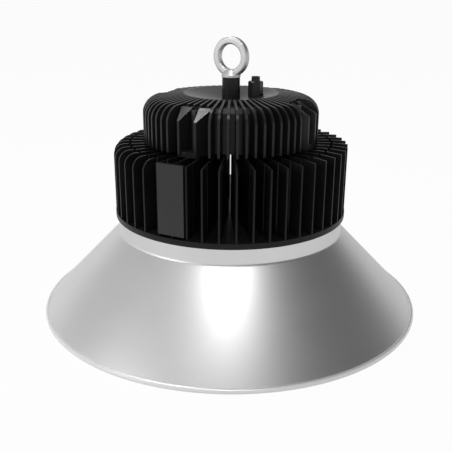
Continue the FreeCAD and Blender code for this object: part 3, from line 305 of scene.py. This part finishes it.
def reflector_profile():
    """Half section of the sheet: outside downwards, round the bead, inside up.

    The cone falls at 45 degrees from a bend tangent to both its runs. At its
    foot the sheet runs into a rolled bead, a circle that stands proud of it
    on both sides. proud is the distance of the sheet's outside from the
    circle's centre, and inner that of its inside.
    """
    low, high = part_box("reflector")
    rim, top = high.x, high.z
    neck = 0.147
    hole = 0.121
    sheet = 0.0015
    bend = 0.006
    bead = 0.003
    proud = 0.001
    fall = 45
    half = math.sin(math.radians(fall))
    bend_run = math.tan(math.radians(fall / 2))
    centre = np.array([rim - bead, bead])
    touch = centre + bead * half
    uphill = half * np.array([-1, 1])
    crease = touch[1] + (touch[0] - neck)
    outside = arc((neck + bend, crease + bend * bend_run), bend, 180, 180 + fall, 9)
    inner_neck = neck - sheet
    inner_bend = bend + sheet
    inner_crease = crease - sheet * bend_run
    inside = arc((inner_neck + inner_bend, inner_crease + inner_bend * bend_run),
                 inner_bend, 180 + fall, 180, 9)
    inner = proud - sheet
    outer_swing = math.degrees(math.acos(proud / bead)) + fall
    inner_swing = math.degrees(math.acos(inner / bead)) + fall
    foot = centre + proud * half + math.sqrt(bead ** 2 - proud ** 2) * uphill
    leave = centre + inner * half + math.sqrt(bead ** 2 - inner ** 2) * uphill
    return np.vstack([
        line((neck, top), outside[0], 4)[:-1], outside,
        line(outside[-1], foot, 26)[1:-1],
        arc(centre, bead, outer_swing, inner_swing - 360, 34),
        line(leave, inside[0], 26)[1:-1], inside,
        line(inside[-1], (inner_neck, top - sheet), 4)[1:],
        line((inner_neck, top - sheet), (hole, top - sheet), 4)[1:],
        line((hole, top), (neck, top), 4)[:-1]])


add_piece("spun_reflector", revolve("spun_reflector", reflector_profile()), spun,
          "spun_aluminium", "reflector")


# -------------------------------------------------------------- castings
# The heatsink and the driver housing are die castings in a thin black
# powder coat. The heatsink and the bezel under it get a rougher copy with a
# darker base colour and less sheen, which is painted shade on the fin tips.
def fine_grain_group():
    """Grain of a powder coat or a moulding: one fine noise on Object coordinates."""
    group, entry, leave = new_group(
        "fine grain", [("Scale", 900.0)], [("Height", "NodeSocketFloat")])
    nodes, links = group.nodes, group.links
    place = nodes.new("ShaderNodeTexCoord")
    noise = nodes.new("ShaderNodeTexNoise")
    noise.inputs["Detail"].default_value = 2.0
    links.new(place.outputs["Object"], noise.inputs["Vector"])
    links.new(entry.outputs["Scale"], noise.inputs["Scale"])
    links.new(noise.outputs["Fac"], leave.inputs["Height"])
    return group


grain = fine_grain_group()


def coated_material(name, base, rough_low, rough_high, bump, specular=0.5):
    """Dark coat with cloudy roughness and a fine grain."""
    material, shader = new_material(name, base, rough_low, specular=specular)
    cloud = place_group(material, blotches, Scale=22.0, Contrast=1.8)
    drive_value(material, cloud.outputs["Mask"], shader.inputs["Roughness"],
                rough_low, rough_high)
    lighter = tuple(min(1.0, c * 1.5 + 0.002) for c in base)
    drive_colour(material, cloud.outputs["Mask"], shader.inputs["Base Color"],
                 base, lighter)
    texture = place_group(material, grain, Scale=1100.0)
    add_bump(material, shader, texture.outputs["Height"], bump, 0.0003)
    return material


powder_coat = coated_material("black powder coat", (0.011, 0.011, 0.0113),
                              0.28, 0.38, 0.12, 0.32)


def dress(node, material):
    """The CAD node keeps its shape and gets a material."""
    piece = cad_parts[node]
    piece.data.materials.clear()
    piece.data.materials.append(material)


# A darker, less glossy copy of the coat: painted shade on the heatsink's fin tips.
shaded_sink_coat = coated_material("matt black powder coat with painted shade", (0.006, 0.006, 0.0062),
                            0.32, 0.44, 0.12, 0.24)
for node in ("driver_housing", "spacer_sleeve"):
    dress(node, powder_coat)
for node in ("lower_heatsink", "lens_bezel"):
    dress(node, shaded_sink_coat)


# ------------------------------------------------------------- nameplate
# A thin bare plate on the heatsink's pad, coated smoother than the castings.
plate_coat = coated_material("nameplate coat", (0.013, 0.013, 0.0135),
                             0.30, 0.36, 0.04)
dress("nameplate", plate_coat)


# ---------------------------------------------------------- lifting eye
# A forged steel eye bolt with a satin plated finish. The ring grows out of a
# waisted neck over a round collar.
def plated_material(name, base, rough_low, rough_high):
    """Plated steel with faint clouds from handling."""
    material, shader = new_material(name, base, rough_low, metallic=1.0)
    cloud = place_group(material, blotches, Scale=60.0, Contrast=1.6)
    drive_value(material, cloud.outputs["Mask"], shader.inputs["Roughness"],
                rough_low, rough_high)
    texture = place_group(material, grain, Scale=1500.0)
    add_bump(material, shader, texture.outputs["Height"], 0.08, 0.0002)
    return material


forged_steel = plated_material("forged steel", (0.72, 0.72, 0.73), 0.42, 0.52)
zinc_steel = plated_material("zinc plated steel", (0.66, 0.66, 0.68), 0.30, 0.42)
black_steel = coated_material("blackened steel", (0.03, 0.03, 0.03),
                              0.30, 0.42, 0.05)
dress("eye_bolt", forged_steel)
dress("eye_washer", zinc_steel)
dress("eye_nut", zinc_steel)
dress("housing_screws", black_steel)
for node in ("reflector_screws", "board_screws", "bezel_screws", "floor_screws",
             "driver_screws", "lead_tube", "lead_tube_nut"):
    dress(node, zinc_steel)


# ---------------------------------------------------------- cable gland
# A black nylon gland: seal, hexagonal body, hexagonal cap with its outlet,
# a rubber insert inside and a locknut under the ceiling.
nylon = coated_material("black nylon", (0.009, 0.009, 0.009), 0.34, 0.44, 0.06)
rubber = coated_material("black rubber", (0.012, 0.012, 0.012), 0.62, 0.75, 0.15)
for node in ("gland_body", "gland_cap", "gland_locknut"):
    dress(node, nylon)
for node in ("gland_seal", "gland_insert", "lens_gasket", "floor_gasket"):
    dress(node, rubber)


# ---------------------------------------------------------- light engine
# A white aluminium-core board with rings of yellow phosphor LEDs behind a
# flat toughened glass.
board_mask = coated_material("white solder mask", (0.80, 0.80, 0.78),
                             0.40, 0.50, 0.02)
phosphor = coated_material("yellow phosphor", (0.80, 0.55, 0.10),
                           0.25, 0.32, 0.02)
dress("led_board", board_mask)
dress("leds", phosphor)
glass, glass_shader = new_material("clear glass", (0.95, 0.97, 0.97), 0.02)
glass_shader.inputs["Transmission Weight"].default_value = 1.0
glass_shader.inputs["IOR"].default_value = 1.5
dress("lens_glass", glass)


# -------------------------------------------------------------- drivers
# Twin drivers in extruded aluminium cases on a plain floor plate, and the
# red leads that run down to the LED board.
bare_sheet, bare_shader = new_material("bare aluminium", (0.70, 0.70, 0.71), 0.40,
                                       metallic=1.0)
cloud = place_group(bare_sheet, blotches, Scale=18.0, Contrast=1.5)
drive_value(bare_sheet, cloud.outputs["Mask"], bare_shader.inputs["Roughness"],
            0.34, 0.48)
for node in ("floor_plate", "driver_front", "driver_rear"):
    dress(node, bare_sheet)
sleeve_red = coated_material("red insulation", (0.45, 0.03, 0.02), 0.30, 0.38, 0.02)
dress("led_leads", sleeve_red)


# --------------------------------------------------------------- studio
# A pale floor and backdrop, a soft lamp overhead and a little to the front,
# one on the left, one high at the back, and a darker side of the room on the
# upper right, which gives the spun cone its shade. The camera sees the world
# plain white. Glossy and transmission rays see it graded, and glossy rays see
# only part of the floor's white.
def sight(tree, metal_share):
    """1 for camera and transmission rays, metal_share for glossy ones, else 0."""
    rays = tree.nodes.new("ShaderNodeLightPath")
    metal = tree.nodes.new("ShaderNodeMath")
    metal.operation = "MULTIPLY"
    metal.inputs[1].default_value = metal_share
    seen = tree.nodes.new("ShaderNodeMath")
    seen.operation = "MAXIMUM"
    pane = tree.nodes.new("ShaderNodeMath")
    pane.operation = "MAXIMUM"
    tree.links.new(rays.outputs["Is Glossy Ray"], metal.inputs[0])
    tree.links.new(rays.outputs["Is Camera Ray"], seen.inputs[0])
    tree.links.new(metal.outputs[0], seen.inputs[1])
    tree.links.new(seen.outputs[0], pane.inputs[0])
    tree.links.new(rays.outputs["Is Transmission Ray"], pane.inputs[1])
    return pane.outputs[0]


def turned_to(tree, away, start, stop):
    """0 to 1 as the direction of a ray turns towards the vector away."""
    place = tree.nodes.new("ShaderNodeTexCoord")
    along = tree.nodes.new("ShaderNodeVectorMath")
    along.operation = "DOT_PRODUCT"
    along.inputs[1].default_value = away
    run = tree.nodes.new("ShaderNodeMapRange")
    run.interpolation_type = "SMOOTHSTEP"
    run.inputs["From Min"].default_value = start
    run.inputs["From Max"].default_value = stop
    tree.links.new(place.outputs["Generated"], along.inputs[0])
    tree.links.new(along.outputs["Value"], run.inputs["Value"])
    return run.outputs["Result"]


def grey_mix(tree, share, low, high):
    """Colour between two greys or links, by a share of 0 to 1."""
    node = tree.nodes.new("ShaderNodeMix")
    node.data_type = "RGBA"
    tree.links.new(share, node.inputs["Factor"])
    for label, value in (("A", low), ("B", high)):
        if isinstance(value, float):
            node.inputs[label].default_value = (value, value, value, 1.0)
        else:
            tree.links.new(value, node.inputs[label])
    return node.outputs["Result"]


world = bpy.data.worlds.new("studio")
bpy.context.scene.world = world
world.use_nodes = True
tree = world.node_tree
backdrop = tree.nodes["Background"]
overhead = grey_mix(tree, turned_to(tree, (1.0, 0.0, 0.0), 0.02, 0.52), 0.50, 0.10)
graded = grey_mix(tree, turned_to(tree, (0.0, 0.0, 1.0), 0.05, 0.32), 1.0, overhead)
rays = tree.nodes.new("ShaderNodeLightPath")
tree.links.new(grey_mix(tree, rays.outputs["Is Camera Ray"], graded, 1.0),
               backdrop.inputs["Color"])
room = tree.nodes.new("ShaderNodeBackground")
room.inputs["Color"].default_value = (1.0, 1.0, 1.0, 1.0)
room.inputs["Strength"].default_value = 0.35
mix = tree.nodes.new("ShaderNodeMixShader")
tree.links.new(sight(tree, 1.0), mix.inputs["Fac"])
tree.links.new(room.outputs[0], mix.inputs[1])
tree.links.new(backdrop.outputs[0], mix.inputs[2])
tree.links.new(mix.outputs[0], tree.nodes["World Output"].inputs["Surface"])

floor_mesh = bpy.data.meshes.new("floor")
floor_mesh.from_pydata([(-30, -30, 0), (30, -30, 0), (30, 30, 0), (-30, 30, 0)],
                       [], [(0, 1, 2, 3)])
floor = bpy.data.objects.new("floor", floor_mesh)
bpy.context.scene.collection.objects.link(floor)
pale, pale_shader = new_material("pale floor", (0.90, 0.90, 0.90), 0.8)
floor_mesh.materials.append(pale)
tree = pale.node_tree
white = tree.nodes.new("ShaderNodeEmission")
white.inputs["Color"].default_value = (1.0, 1.0, 1.0, 1.0)
white.inputs["Strength"].default_value = 1.0
part_white = tree.nodes.new("ShaderNodeMath")
part_white.operation = "MULTIPLY"
part_white.inputs[1].default_value = 0.95
mix = tree.nodes.new("ShaderNodeMixShader")
tree.links.new(sight(tree, 0.30), part_white.inputs[0])
tree.links.new(part_white.outputs[0], mix.inputs["Fac"])
tree.links.new(pale_shader.outputs[0], mix.inputs[1])
tree.links.new(white.outputs[0], mix.inputs[2])
below = tree.nodes.new("ShaderNodeNewGeometry")
open_below = tree.nodes.new("ShaderNodeMixShader")
clear = tree.nodes.new("ShaderNodeBsdfTransparent")
tree.links.new(below.outputs["Backfacing"], open_below.inputs["Fac"])
tree.links.new(mix.outputs[0], open_below.inputs[1])
tree.links.new(clear.outputs[0], open_below.inputs[2])
tree.links.new(open_below.outputs[0], tree.nodes["Material Output"].inputs["Surface"])


def add_lamp(name, place, target, size, power):
    """Square area lamp aimed at a point."""
    data = bpy.data.lights.new(name, "AREA")
    data.shape = "SQUARE"
    data.size = size
    data.energy = power
    lamp = bpy.data.objects.new(name, data)
    bpy.context.scene.collection.objects.link(lamp)
    lamp.location = place
    aim = Vector(target) - Vector(place)
    lamp.rotation_euler = aim.to_track_quat("-Z", "Y").to_euler()
    return lamp


add_lamp("key", (-0.03, -0.85, 2.0), (0, 0, 0.1), 0.34, 9)
add_lamp("side", (-1.6, -0.9, 0.9), (0, 0, 0.2), 0.6, 5)
add_lamp("back", (-0.41, 0.60, 1.66), (0, 0, 0.2), 0.25, 6)


# --------------------------------------------------------------- camera
# The view from a little above, in front of the light.
def set_camera(place, pitch, yaw, roll, lens):
    """Camera looking along +Y, turned down by pitch, right by yaw and rolled."""
    ahead = Vector((math.sin(yaw) * math.cos(pitch),
                    math.cos(yaw) * math.cos(pitch), -math.sin(pitch)))
    right = Vector((math.cos(yaw), -math.sin(yaw), 0))
    up = right.cross(ahead)
    side = math.cos(roll) * right + math.sin(roll) * up
    crown = -math.sin(roll) * right + math.cos(roll) * up
    data = bpy.data.cameras.new("camera")
    data.sensor_width = 36
    data.lens = lens
    camera = bpy.data.objects.new("camera", data)
    bpy.context.scene.collection.objects.link(camera)
    turn = Matrix((side, crown, -ahead)).transposed()
    camera.matrix_world = Matrix.Translation(place) @ turn.to_4x4()
    bpy.context.scene.camera = camera


set_camera(Vector((0, -0.8909, 0.4184)), 0.33992, -0.00605, 0.00567, 55.54)
bpy.context.scene.view_settings.view_transform = "Standard"
